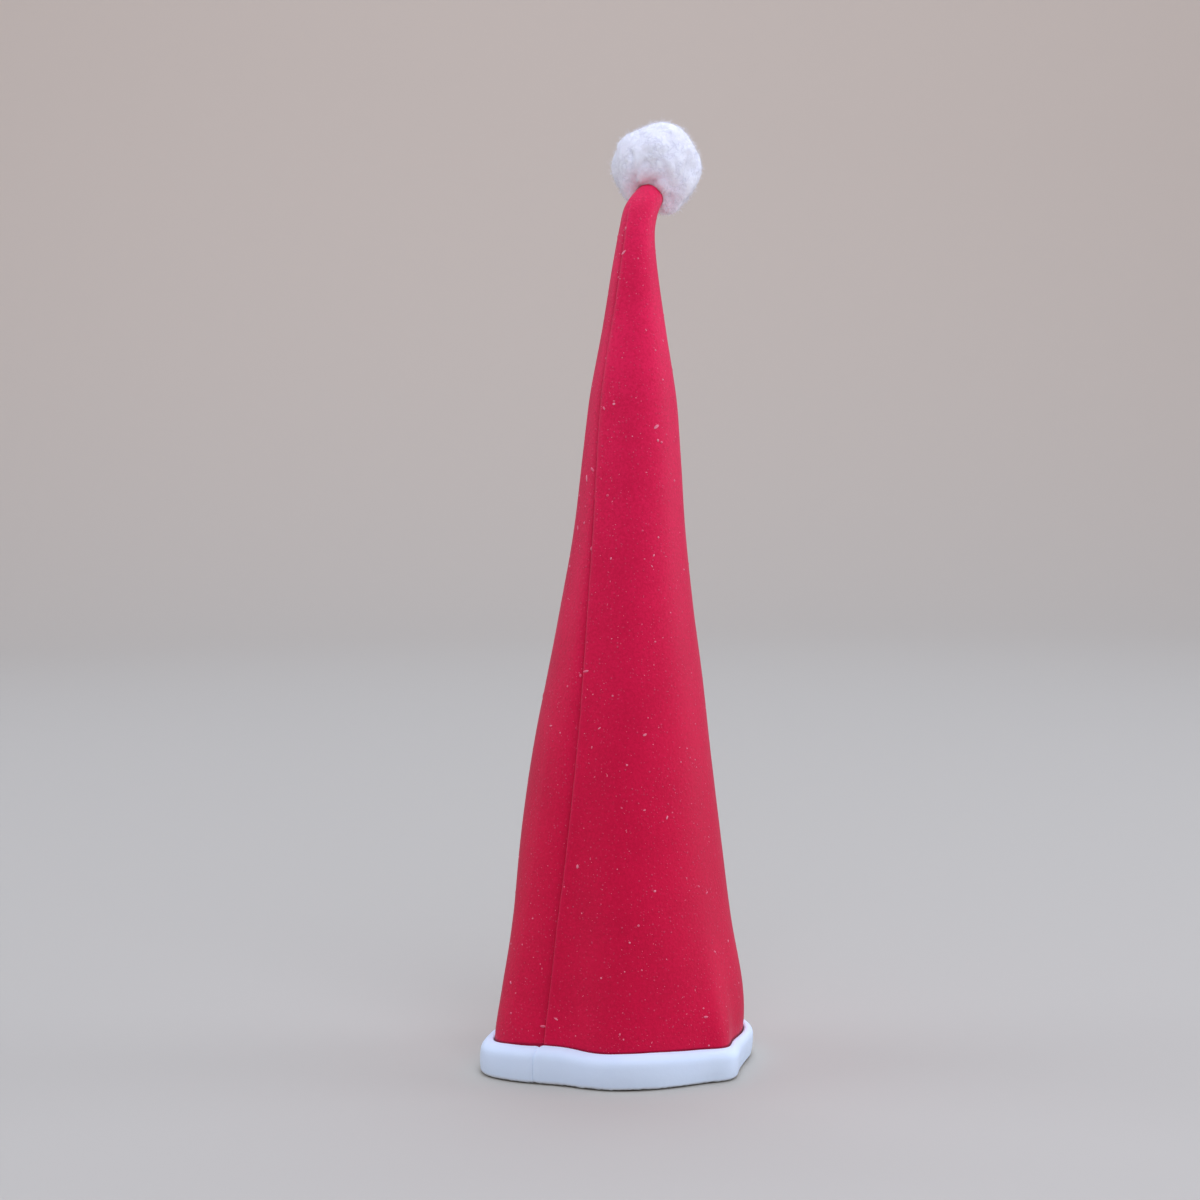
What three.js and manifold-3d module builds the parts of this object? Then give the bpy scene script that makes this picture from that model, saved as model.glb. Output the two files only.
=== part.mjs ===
// Miniature santa hat: a tall cone rolled from a sheet of craft foam and butt-glued along one seam,
// a foam strip glued round its foot, and a cotton ball stuck on its hooked tip.
// Millimetres, +Z up. The front faces -Y, and the hat stands on the foot of its crown at z = 0.
import * as THREE from "three";
import { mergeVertices } from "three/addons/utils/BufferGeometryUtils.js";
import Module from "manifold-3d";

const wasm = await Module();
wasm.setup();

// Sizes that drive the rest
const FOAM_THICKNESS = 2.0;
const GLUE_GAP = 0.3;
const STRIP_FOOT = 0.1; // the strip's lower edge clears the floor by this much
const STRIP_TOP = 5.0; // usual height of the strip's upper edge
const STRIP_UPPER_ROUNDING = 0.55;
const STRIP_LOWER_ROUNDING = 0.3;
const HOLLOW_TOP = 117; // the rolled sheet closes on itself above this height
const HOLLOW_END = 119.5;
const TIP_DOME = 0.7;
const BALL_RADIUS = 6.9;
const BALL_CENTRE = new THREE.Vector3(8.2, 7.2, 137.5);

// How finely the curved walls are faceted
const PLAIN_COLUMNS = 44;
const OUTER_RING_STEP = 4.5;
const INNER_RING_STEP = 6.5;
const STRIP_COLUMNS = 64;
const STRIP_EDGE_STEPS = 3;
const RINGS_PER_SECTION = 2; // at least this many, so that tight bends stay round
const PLUG_RINGS = 12;
const PLUG_FOOT = 124;
const LOCK_COLUMNS = 12;
const LOCK_RINGS = 8;
const HEAD_COLUMNS = 20;
const HEAD_RINGS = 14;

// Oval sections of the crown: the height and place of each centre, half of its size across and from front
// to back, and the turn of the seam from the front, negative to the left.
const CROWN_SECTIONS = [
  { height: 0, across: 0.1, back: -0.1, halfWidth: 18.9, halfDepth: 15.3, seamTurn: -40 },
  { height: 6, across: 0.4, back: 0.0, halfWidth: 19.1, halfDepth: 15.0, seamTurn: -39 },
  { height: 12, across: 0.7, back: 0.3, halfWidth: 18.45, halfDepth: 14.4, seamTurn: -38.6 },
  { height: 22, across: 0.78, back: 0.5, halfWidth: 16.95, halfDepth: 13.6, seamTurn: -37.4 },
  { height: 34, across: 0.88, back: 0.7, halfWidth: 15.6, halfDepth: 12.3, seamTurn: -33.7 },
  { height: 46, across: 1.25, back: 0.9, halfWidth: 14.0, halfDepth: 11.2, seamTurn: -32 },
  { height: 58, across: 1.95, back: 1.0, halfWidth: 12.15, halfDepth: 10.1, seamTurn: -34.3 },
  { height: 70, across: 2.5, back: 1.0, halfWidth: 10.2, halfDepth: 8.9, seamTurn: -37.7 },
  { height: 82, across: 3.1, back: 0.9, halfWidth: 8.52, halfDepth: 7.6, seamTurn: -42.5 },
  { height: 94, across: 3.6, back: 0.7, halfWidth: 7.42, halfDepth: 6.5, seamTurn: -46.5 },
  { height: 102, across: 3.9, back: 0.5, halfWidth: 6.6, halfDepth: 5.8, seamTurn: -48.5 },
  { height: 112, across: 4.22, back: 0.3, halfWidth: 4.9, halfDepth: 4.5, seamTurn: -48.5 },
  { height: 119, across: 4.37, back: 0.3, halfWidth: 3.8, halfDepth: 3.6, seamTurn: -42 },
  { height: 124, across: 4.6, back: 0.5, halfWidth: 3.08, halfDepth: 2.95, seamTurn: -41 },
  { height: 127.5, across: 4.95, back: 0.8, halfWidth: 2.7, halfDepth: 2.6, seamTurn: -42 },
  { height: 130, across: 5.5, back: 1.5, halfWidth: 2.6, halfDepth: 2.45, seamTurn: -43 },
  { height: 131.6, across: 6.3, back: 2.6, halfWidth: 2.35, halfDepth: 2.25, seamTurn: -43 },
  { height: 132.7, across: 6.95, back: 4.1, halfWidth: 2.15, halfDepth: 2.1, seamTurn: -43 },
  { height: 133.4, across: 7.35, back: 5.6, halfWidth: 2.05, halfDepth: 2.0, seamTurn: -43 },
];
const CROWN_TOP = CROWN_SECTIONS.at(-1).height;
const DIRECTION_STEP = 0.2;
const UPRIGHT_BELOW = 8; // sections lie flat up to here, then square to the centre line
const LEANING_ABOVE = 30;
const SLENDER_ABOVE = 122;

// Hand-made bends of the crown: where each is strongest, how far it spreads, and how far it pushes the wall
// out, or in if negative.
const BENDS = [
  { name: "left front corner", turn: -66, height: 0, turnSpread: 15, heightSpread: 24, push: 1.5 },
  { name: "flat beside the seam", turn: -27, height: 0, turnSpread: 17, heightSpread: 55, push: -1.5 },
  { name: "right front corner", turn: 49, height: 3, turnSpread: 9, heightSpread: 11, push: 1.7 },
  { name: "fuller right front", turn: 36, height: 9, turnSpread: 11, heightSpread: 6, push: 0.45 },
  { name: "right side bulge", turn: 78, height: 11, turnSpread: 16, heightSpread: 8, push: 0.3 },
  { name: "right foot tuck", turn: 75, height: 0, turnSpread: 15, heightSpread: 7, push: -0.65 },
  { name: "left side flat", turn: -102, height: 3, turnSpread: 22, heightSpread: 24, push: -1.4 },
];

// Butt seam of the crown, from left to right across it: the right edge stands a little proud.
const SEAM_PROFILE = [
  { along: -1.6, rise: 0 },
  { along: -0.35, rise: -0.05 },
  { along: 0, rise: -0.35 },
  { along: 0.35, rise: 0.2 },
  { along: 1.6, rise: 0.08 },
];
const SEAM_PRESSED_BELOW = 5.5; // the strip presses the seam flat
const SEAM_OPEN_ABOVE = 7.5;
const SEAM_FADES_FROM = 126;
const SEAM_ENDS = 130;

// Joint of the strip, left of the front, where its two ends butt
const STRIP_JOINT_TURN = -40;
const STRIP_JOINT_GAP = 0.25;
const STRIP_JOINT_ROUNDING = 0.35;
const STRIP_JOINT_REACH = 0.9; // the ends thin and drop over this length

// Height of the strip's upper edge round the hat: it rises to the joint and dips at the right corner
const STRIP_TOPS = [
  { turn: -180, height: 5.0 },
  { turn: -110, height: 4.9 },
  { turn: -75, height: 4.85 },
  { turn: -55, height: 5.15 },
  { turn: -40, height: 5.4 },
  { turn: -27, height: 5.3 },
  { turn: -12, height: 4.95 },
  { turn: 0, height: 5.0 },
  { turn: 12, height: 5.05 },
  { turn: 30, height: 4.9 },
  { turn: 50, height: 4.7 },
  { turn: 85, height: 4.7 },
  { turn: 120, height: 4.85 },
  { turn: 180, height: 5.0 },
];

// The strip is pulled thin round the right side
const STRIP_STRETCH = { turn: 78, turnSpread: 26, thinned: 0.7 };

// Soft locks of the cotton: the turn of each from the front and its rise above the ball's middle in degrees,
// how far it reaches from the middle, and half of its width and length. They run away from the tip.
const COTTON_LOCKS = [
  { turn: 100, rise: 72, reach: 7.2, halfWidth: 3.8, halfLength: 4.6 },
  { turn: -60, rise: 62, reach: 6.5, halfWidth: 3.7, halfLength: 4.5 },
  { turn: 0, rise: 40, reach: 6.7, halfWidth: 3.3, halfLength: 4.2 },
  { turn: 62, rise: 34, reach: 6.85, halfWidth: 3.3, halfLength: 4.2 },
  { turn: -68, rise: 24, reach: 6.8, halfWidth: 3.1, halfLength: 4.0 },
  { turn: 32, rise: 0, reach: 6.7, halfWidth: 2.7, halfLength: 3.7 },
  { turn: -32, rise: 0, reach: 6.6, halfWidth: 2.8, halfLength: 3.6 },
  { turn: 88, rise: 0, reach: 7.0, halfWidth: 3.2, halfLength: 4.0 },
  { turn: -94, rise: 6, reach: 7.0, halfWidth: 3.1, halfLength: 3.8 },
  { turn: 62, rise: -36, reach: 7.05, halfWidth: 2.9, halfLength: 3.8 },
  { turn: -62, rise: -36, reach: 6.6, halfWidth: 2.9, halfLength: 3.6 },
  { turn: 34, rise: -68, reach: 7.4, halfWidth: 2.6, halfLength: 3.3 },
  { turn: -58, rise: -70, reach: 6.7, halfWidth: 2.7, halfLength: 3.3 },
  { turn: 122, rise: -38, reach: 7.0, halfWidth: 3.3, halfLength: 4.0 },
  { turn: -124, rise: -34, reach: 6.8, halfWidth: 3.3, halfLength: 3.9 },
  { turn: 130, rise: 26, reach: 6.95, halfWidth: 3.5, halfLength: 4.3 },
  { turn: -128, rise: 28, reach: 6.8, halfWidth: 3.5, halfLength: 4.2 },
  { turn: 178, rise: -6, reach: 6.9, halfWidth: 3.5, halfLength: 4.1 },
  { turn: 182, rise: 50, reach: 6.8, halfWidth: 3.5, halfLength: 4.2 },
  { turn: 170, rise: -60, reach: 6.8, halfWidth: 3.3, halfLength: 3.8 },
];
const COTTON_HEAD_SHARE = 0.9; // the plain head's radius against the ball's
const COTTON_LOCK_HALF_THICKNESS = 2.9;

const RED_FOAM = new THREE.MeshStandardMaterial({ color: 0xb7143d, roughness: 0.72, metalness: 0 });
const WHITE_FOAM = new THREE.MeshStandardMaterial({ color: 0xe6ebf5, roughness: 0.7, metalness: 0 });
const COTTON = new THREE.MeshStandardMaterial({ color: 0xf4f4f8, roughness: 0.95, metalness: 0 });

// Small helpers

const { degToRad, smoothstep, lerp } = THREE.MathUtils;
const UP = new THREE.Vector3(0, 0, 1);

/** A column of a table at a place along it, on a cubic curve through the rows. */
function curveValue(rows, place, column, at) {
  const slope = (i) => {
    const a = rows[Math.max(i - 1, 0)];
    const b = rows[Math.min(i + 1, rows.length - 1)];
    return (b[column] - a[column]) / (b[place] - a[place]);
  };
  const last = rows.length - 2;
  const next = rows.findIndex((row) => row[place] > at);
  const i = next < 0 ? last : Math.min(Math.max(next - 1, 0), last);
  const span = rows[i + 1][place] - rows[i][place];
  const t = (at - rows[i][place]) / span;
  const leave = slope(i) * span;
  const arrive = slope(i + 1) * span;
  const rise = rows[i + 1][column] - rows[i][column];
  const bend = 3 * rise - 2 * leave - arrive;
  return rows[i][column] + t * (leave + t * (bend + t * (leave + arrive - 2 * rise)));
}

/** A value of the crown's table at a height. */
function sectionValue(column, height) {
  return curveValue(CROWN_SECTIONS, "height", column, height);
}

/** The centre line of the crown at a height. */
function centreAt(height) {
  return new THREE.Vector3(sectionValue("across", height), sectionValue("back", height), height);
}

/** The direction of the centre line, kept upright near the foot. */
function directionAt(height) {
  const low = Math.max(height - DIRECTION_STEP, 0);
  const high = Math.min(height + DIRECTION_STEP, CROWN_TOP);
  const along = centreAt(high).sub(centreAt(low)).normalize();
  const lean = smoothstep(height, UPRIGHT_BELOW, LEANING_ABOVE);
  return UP.clone().lerp(along, lean).normalize();
}

/** How far the bends push the wall out at a height and a turn from the front, in degrees. */
function bendPush(height, turn) {
  let push = 0;
  for (const bend of BENDS) {
    const aside = ((turn - bend.turn + 540) % 360) - 180;
    const far = (aside / bend.turnSpread) ** 2 + ((height - bend.height) / bend.heightSpread) ** 2;
    push += bend.push * Math.exp(-far);
  }
  return push;
}

/** A point of the crown's wall, or one that is grown outwards from it, at a height and a turn in degrees. */
function wallPoint(height, turn, grown, flat = false) {
  const halfWidth = sectionValue("halfWidth", height);
  const halfDepth = sectionValue("halfDepth", height);
  const angle = degToRad(turn);
  const outward = new THREE.Vector2(Math.sin(angle) / halfWidth, -Math.cos(angle) / halfDepth).normalize();
  const point = new THREE.Vector2(halfWidth * Math.sin(angle), -halfDepth * Math.cos(angle));
  point.addScaledVector(outward, bendPush(height, turn) + grown);
  const square = new THREE.Quaternion().setFromUnitVectors(UP, flat ? UP : directionAt(height));
  return new THREE.Vector3(point.x, point.y, 0).applyQuaternion(square).add(centreAt(height));
}

/** A closed surface through rings of equal length, drawn to a point at each end. */
function loft(start, rings, end) {
  const count = rings[0].length;
  const points = [start, ...rings.flat(), end];
  const endIndex = points.length - 1;
  const corner = (ring, column) => 1 + ring * count + (column % count);
  const faces = [];
  for (let column = 0; column < count; column++) {
    faces.push(0, corner(0, column + 1), corner(0, column));
    for (let ring = 0; ring + 1 < rings.length; ring++) {
      const a = corner(ring, column);
      const b = corner(ring, column + 1);
      const c = corner(ring + 1, column + 1);
      const d = corner(ring + 1, column);
      faces.push(a, b, c, a, c, d);
    }
    faces.push(endIndex, corner(rings.length - 1, column), corner(rings.length - 1, column + 1));
  }
  const geometry = new THREE.BufferGeometry().setFromPoints(points).setIndex(faces);
  geometry.computeVertexNormals();
  return geometry;
}

/** A closed geometry as a solid that can be joined and cut. */
function solidOf(geometry) {
  const bare = geometry.clone();
  bare.deleteAttribute("normal");
  bare.deleteAttribute("uv");
  const merged = mergeVertices(bare, 1e-4);
  return new wasm.Manifold(
    new wasm.Mesh({
      numProp: 3,
      vertProperties: merged.attributes.position.array,
      triVerts: new Uint32Array(merged.index.array),
    }),
  );
}

/** A solid as a geometry again. */
function geometryOf(solid) {
  const mesh = solid.getMesh();
  const geometry = new THREE.BufferGeometry();
  geometry.setAttribute("position", new THREE.BufferAttribute(mesh.vertProperties, 3));
  geometry.setIndex(new THREE.BufferAttribute(mesh.triVerts, 1));
  geometry.computeVertexNormals();
  return geometry;
}

function namedMesh(name, geometry, material) {
  const mesh = new THREE.Mesh(geometry, material);
  mesh.name = name;
  return mesh;
}

// Crown

/** Heights of the crown's rings up to a top: each stretch between two sections is cut into even steps. */
function ringHeights(top, step) {
  const heights = [0];
  for (let i = 0; i + 1 < CROWN_SECTIONS.length; i++) {
    const low = CROWN_SECTIONS[i].height;
    const high = Math.min(CROWN_SECTIONS[i + 1].height, top);
    if (high <= low) break;
    const pieces = Math.max(Math.ceil((high - low) / step), high < SLENDER_ABOVE ? 1 : RINGS_PER_SECTION);
    for (let piece = 1; piece <= pieces; piece++) heights.push(lerp(low, high, piece / pieces));
  }
  return heights;
}

/** Turns and seam offsets of one ring's columns, counted round from the left lip of the seam. */
function crownColumns(height) {
  const radius = (sectionValue("halfWidth", height) + sectionValue("halfDepth", height)) / 2;
  const seamTurn = sectionValue("seamTurn", height);
  const columns = SEAM_PROFILE.map(({ along, rise }) => ({
    turn: seamTurn + THREE.MathUtils.radToDeg(along / radius),
    rise,
  }));
  const first = columns.at(-1).turn;
  const rest = 360 - (first - columns[0].turn);
  for (let i = 1; i <= PLAIN_COLUMNS; i++)
    columns.push({ turn: first + (rest * i) / (PLAIN_COLUMNS + 1), rise: 0 });
  return columns;
}

/** How much of the seam's profile shows at a height. */
function seamShare(height) {
  const opened = smoothstep(height, SEAM_PRESSED_BELOW, SEAM_OPEN_ABOVE);
  return opened * (1 - smoothstep(height, SEAM_FADES_FROM, SEAM_ENDS));
}

function crownRing(height, grown, seam) {
  const share = seam ? seamShare(height) : 0;
  return crownColumns(height).map(({ turn, rise }) => wallPoint(height, turn, grown + share * rise));
}

function makeCrown() {
  const inside = ringHeights(HOLLOW_TOP, INNER_RING_STEP).reverse();
  const outside = ringHeights(CROWN_TOP, OUTER_RING_STEP);
  const rings = [
    ...inside.map((height) => crownRing(height, -FOAM_THICKNESS, false)),
    ...outside.map((height) => crownRing(height, 0, true)),
  ];
  const tip = centreAt(CROWN_TOP).addScaledVector(directionAt(CROWN_TOP), TIP_DOME);
  return namedMesh("crown", loft(centreAt(HOLLOW_END), rings, tip), RED_FOAM);
}

// Strip round the foot

/** The height of the strip's upper edge at a turn from the front. */
function stripTop(turn) {
  return curveValue(STRIP_TOPS, "turn", "height", ((turn + 540) % 360) - 180);
}

/** The strip's cross-section at a turn, with rounded outer edges: points round a closed outline. */
function stripRing(turn, thinned) {
  const aside = (turn - STRIP_STRETCH.turn) / STRIP_STRETCH.turnSpread;
  const inner = GLUE_GAP;
  const outer = GLUE_GAP + FOAM_THICKNESS - thinned - STRIP_STRETCH.thinned * Math.exp(-(aside ** 2));
  const top = stripTop(turn) - thinned;
  const bottom = STRIP_FOOT + thinned / 2;
  const outline = [];
  const addCorner = (height, rounding, startAngle) => {
    for (let i = 0; i <= STRIP_EDGE_STEPS; i++) {
      const angle = degToRad(startAngle - (90 * i) / STRIP_EDGE_STEPS);
      outline.push([outer + rounding * (Math.cos(angle) - 1), height + rounding * Math.sin(angle)]);
    }
  };
  outline.push([inner, top]);
  addCorner(top - STRIP_UPPER_ROUNDING, STRIP_UPPER_ROUNDING, 90);
  outline.push([outer, (bottom + top) / 2]);
  addCorner(bottom + STRIP_LOWER_ROUNDING, STRIP_LOWER_ROUNDING, 0);
  outline.push([inner, bottom]);
  outline.push([inner, (bottom + top) / 2]);
  return outline.map(([out, height]) => wallPoint(height, turn, out, true));
}

function makeStrip() {
  const middle = (STRIP_FOOT + STRIP_TOP) / 2;
  const radius = sectionValue("halfWidth", middle) + FOAM_THICKNESS;
  const degrees = (length) => THREE.MathUtils.radToDeg(length / radius);
  const start = STRIP_JOINT_TURN + degrees(STRIP_JOINT_GAP / 2);
  const sweep = 360 - degrees(STRIP_JOINT_GAP);
  const reach = degrees(STRIP_JOINT_REACH);
  const turns = [0, reach / 3, reach];
  for (let i = 1; i < STRIP_COLUMNS; i++) turns.push(lerp(reach, sweep - reach, i / STRIP_COLUMNS));
  turns.push(sweep - reach, sweep - reach / 3, sweep);
  const rings = turns.map((along) => {
    const toEnd = Math.min(along, sweep - along) / reach;
    const thinned = STRIP_JOINT_ROUNDING * Math.max(0, 1 - toEnd) ** 2;
    return stripRing(start + along, thinned);
  });
  const middleOf = (ring) =>
    ring.reduce((sum, point) => sum.add(point), new THREE.Vector3()).divideScalar(ring.length);
  return namedMesh("foot_strip", loft(middleOf(rings[0]), rings, middleOf(rings.at(-1))), WHITE_FOAM);
}

// Cotton ball

/** The crown's tip as a plug, grown by the glue gap, that leaves a socket in the cotton. */
function tipPlug() {
  const rings = [];
  for (let i = 0; i <= PLUG_RINGS; i++) {
    const height = lerp(PLUG_FOOT, CROWN_TOP, i / PLUG_RINGS);
    rings.push(crownRing(height, GLUE_GAP, false));
  }
  const end = centreAt(CROWN_TOP).addScaledVector(directionAt(CROWN_TOP), TIP_DOME + GLUE_GAP);
  return solidOf(loft(centreAt(PLUG_FOOT), rings, end));
}

/** One soft lock of cotton that lies on the ball and runs away from the tip. */
function cottonLock(lock, tipSide) {
  const turn = degToRad(lock.turn);
  const rise = degToRad(lock.rise);
  const level = Math.cos(rise);
  const outward = new THREE.Vector3(level * Math.sin(turn), -level * Math.cos(turn), Math.sin(rise));
  const across = new THREE.Vector3().crossVectors(tipSide, outward).normalize();
  const along = new THREE.Vector3().crossVectors(outward, across);
  const middle = BALL_CENTRE.clone().addScaledVector(outward, lock.reach - COTTON_LOCK_HALF_THICKNESS);
  const geometry = new THREE.SphereGeometry(1, LOCK_COLUMNS, LOCK_RINGS);
  geometry.scale(lock.halfWidth, lock.halfLength, COTTON_LOCK_HALF_THICKNESS);
  return geometry.applyMatrix4(new THREE.Matrix4().makeBasis(across, along, outward).setPosition(middle));
}

function makeCottonBall() {
  const tipSide = centreAt(CROWN_TOP).sub(BALL_CENTRE).normalize();
  const head = new THREE.SphereGeometry(BALL_RADIUS * COTTON_HEAD_SHARE, HEAD_COLUMNS, HEAD_RINGS);
  let ball = solidOf(head.translate(...BALL_CENTRE));
  for (const lock of COTTON_LOCKS) ball = ball.add(solidOf(cottonLock(lock, tipSide)));
  return namedMesh("cotton_ball", geometryOf(ball.subtract(tipPlug())), COTTON);
}

// The hat, moved so that the middle of its box stands over the origin

const hat = new THREE.Group();
hat.add(makeCrown(), makeStrip(), makeCottonBall());
const box = new THREE.Box3().setFromObject(hat);
const middle = box.getCenter(new THREE.Vector3());
hat.position.set(-middle.x, -middle.y, -box.min.z);

const part = new THREE.Group();
part.add(hat);
export default part;
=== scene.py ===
"""Finished look of a miniature santa hat: a crown of rolled foam, a foam strip and a cotton ball."""

import math

import bmesh
import bpy
import numpy as np
from bpy.props import FloatProperty, FloatVectorProperty, IntProperty, PointerProperty
from bpy.types import Operator, Panel, PropertyGroup
from mathutils import Matrix, Vector, noise


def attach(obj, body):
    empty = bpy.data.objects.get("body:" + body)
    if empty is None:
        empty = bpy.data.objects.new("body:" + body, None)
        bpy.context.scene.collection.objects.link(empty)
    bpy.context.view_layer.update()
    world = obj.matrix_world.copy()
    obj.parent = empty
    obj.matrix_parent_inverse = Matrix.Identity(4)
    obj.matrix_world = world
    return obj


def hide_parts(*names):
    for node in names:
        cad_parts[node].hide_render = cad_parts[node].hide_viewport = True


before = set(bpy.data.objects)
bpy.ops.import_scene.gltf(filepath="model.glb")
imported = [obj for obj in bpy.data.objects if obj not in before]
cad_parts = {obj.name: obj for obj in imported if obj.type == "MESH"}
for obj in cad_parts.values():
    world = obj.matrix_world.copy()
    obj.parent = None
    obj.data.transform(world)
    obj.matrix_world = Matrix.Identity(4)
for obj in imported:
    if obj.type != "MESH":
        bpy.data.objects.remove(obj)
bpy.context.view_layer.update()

bl_info = {
    "name": "Miniature santa hat",
    "version": (1, 0, 0),
    "blender": (4, 5, 0),
    "location": "View3D > Sidebar > Santa hat",
    "description": "Builds the finished look of a craft-foam santa hat over its packed frame",
    "category": "Object",
}


def table(columns, *rows):
    """Rows of a table, each with these names for its columns."""
    return tuple(dict(zip(columns.split(), row, strict=True)) for row in rows)


# The tables below are in millimetres and degrees, as in the part's source. The front faces -Y, a turn is
# counted from the front, negative to the left, and HAT_PLACE moves the hat into the frame.
MM = 0.001
HAT_PLACE = np.array((-0.0577, 0.0479, 0.0))
FOAM_THICKNESS = 2.0
GLUE_GAP = 0.3

# Oval sections of the crown: the place of each centre, half sizes, and the turn of the seam
CROWN_SECTIONS = table(
    "height across back half_width half_depth seam_turn",
    (0, 0.1, -0.1, 18.9, 15.3, -40),
    (6, 0.4, 0.0, 19.1, 15.0, -39),
    (12, 0.7, 0.3, 18.45, 14.4, -38.6),
    (22, 0.78, 0.5, 16.95, 13.6, -37.4),
    (34, 0.88, 0.7, 15.6, 12.3, -33.7),
    (46, 1.25, 0.9, 14.0, 11.2, -32),
    (58, 1.95, 1.0, 12.15, 10.1, -34.3),
    (70, 2.5, 1.0, 10.2, 8.9, -37.7),
    (82, 3.1, 0.9, 8.52, 7.6, -42.5),
    (94, 3.6, 0.7, 7.42, 6.5, -46.5),
    (102, 3.9, 0.5, 6.6, 5.8, -48.5),
    (112, 4.22, 0.3, 4.9, 4.5, -48.5),
    (119, 4.37, 0.3, 3.8, 3.6, -42),
    (124, 4.6, 0.5, 3.08, 2.95, -41),
    (127.5, 4.95, 0.8, 2.7, 2.6, -42),
    (130, 5.5, 1.5, 2.6, 2.45, -43),
    (131.6, 6.3, 2.6, 2.35, 2.25, -43),
    (132.7, 6.95, 4.1, 2.15, 2.1, -43),
    (133.4, 7.35, 5.6, 2.05, 2.0, -43),
)
CROWN_TOP = CROWN_SECTIONS[-1]["height"]
DIRECTION_STEP = 0.2
LEAN_BEGINS = (8, 30)
SLENDER_ABOVE = 119
HOLLOW_TOP = 117
HOLLOW_END = 119.5
TIP_DOME = 0.7

# Bends of the crown's wall
BENDS = table(
    "name turn height turn_spread height_spread push",
    ("left front corner", -66, 0, 15, 24, 1.5),
    ("flat beside seam", -27, 0, 17, 55, -1.5),
    ("right front corner", 49, 3, 9, 11, 1.7),
    ("fuller right front", 36, 9, 11, 6, 0.45),
    ("right side bulge", 78, 11, 16, 8, 0.3),
    ("right foot tuck", 75, 0, 15, 7, -0.65),
    ("left side flat", -102, 3, 22, 24, -1.4),
)

# Butt seam of the crown, from left to right across it: a fine crevice, and a right edge that stands proud
SEAM_PROFILE = table(
    "along rise",
    (-5.0, 0.0),
    (-2.0, -0.03),
    (-1.0, -0.06),
    (-0.55, -0.1),
    (-0.25, -0.14),
    (-0.08, -0.18),
    (0.0, -0.19),
    (0.06, -0.1),
    (0.12, 0.04),
    (0.2, 0.13),
    (0.32, 0.19),
    (0.5, 0.21),
    (0.9, 0.2),
    (1.7, 0.13),
    (3.2, 0.05),
    (5.0, 0.0),
)
SEAM_CLOSE = 0.7  # beyond this the profile narrows with the crown
SEAM_FULL_RADIUS = 9.0
SEAM_BEGINS = (4.4, 5.6)
SEAM_ENDS = (127, 131)

# Bands along the seam, of painted shade beside its crevice and of a painted highlight on its proud lip:
# where the middle of each lies and how far it reaches
SEAM_SHADE = {"along": -0.15, "reach": 0.5}
SEAM_LIP_HIGHLIGHT = {"along": 0.26, "reach": 0.17}

# Fineness of the crown's mesh, its slow waves and the places of its pores
PLAIN_COLUMNS = 170
OUTER_STEP = 0.55
INNER_STEP = 2.5
TIP_STEP = 0.22
INNER_SEAM_SHARE = 0.5  # the seam's groove inside the hollow against the one outside
CROWN_CREASE = 50
CROWN_WAVES = table("share size seed", (0.7, 16.0, 1), (0.3, 5.0, 4))
WAVES_BEGIN = (1.0, 9.0)
WAVES_END = (118.0, 126.0)
SEAM_CUT = table("share size seed", (0.06, 5.0, 2), (0.03, 1.6, 3))
SEAM_DEPTH = table("share size seed", (0.25, 7.0, 5), (0.12, 2.0, 6))
PORES_BEGIN = (4.7, 5.5)
PORE_CLUSTERS = {"least": 0.35, "more": 1.3, "size": 4.0, "seed": 8, "low": -0.3, "high": 0.4}

# Joint of the strip, the height of its upper edge round the hat, and the stretch that thins it on the right
STRIP_FOOT = 0.1
STRIP_TOP = 5.0
STRIP_JOINT_TURN = -40
STRIP_JOINT_GAP = 0.08
STRIP_JOINT_REACH = 0.8
STRIP_TOPS = table(
    "turn height",
    (-180, 5.0),
    (-110, 4.9),
    (-75, 4.85),
    (-55, 5.15),
    (-40, 5.4),
    (-27, 5.3),
    (-12, 4.95),
    (0, 5.0),
    (12, 5.05),
    (30, 4.9),
    (50, 4.7),
    (85, 4.7),
    (120, 4.85),
    (180, 5.0),
)
STRIP_STRETCH = {"turn": 78, "turn_spread": 26, "thinned": 0.7}

# Fineness of the strip's mesh, its cut edges and the small waves of its faces
STRIP_COLUMNS = 760
STRIP_EDGE_STEPS = 7
STRIP_FACE_STEPS = 9
STRIP_JOINT_DROP = 0.24
STRIP_JOINT_DIP = 0.12
STRIP_INSET = 0.15  # the strip's inner face clears the crown by this much
INNER_ROUNDING = 0.3
STRIP_CREASE = 60
STRIP_END_STEPS = 8
STRIP_JOINT_LIFT = 0.06
STRIP_LOW_END = {"drop": 0.14, "reaches": 5}
STRIP_TOP_FLAT = 0.05
FACE_WAVES = table("share size seed", (0.05, 6.0, 11))
TOP_WAVES = table("share size seed", (0.05, 3.5, 12))
RAG_WAVES = table("share size seed", (0.35, 3.0, 13), (0.65, 0.45, 14))
RAG_USUAL = 0.6

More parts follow.
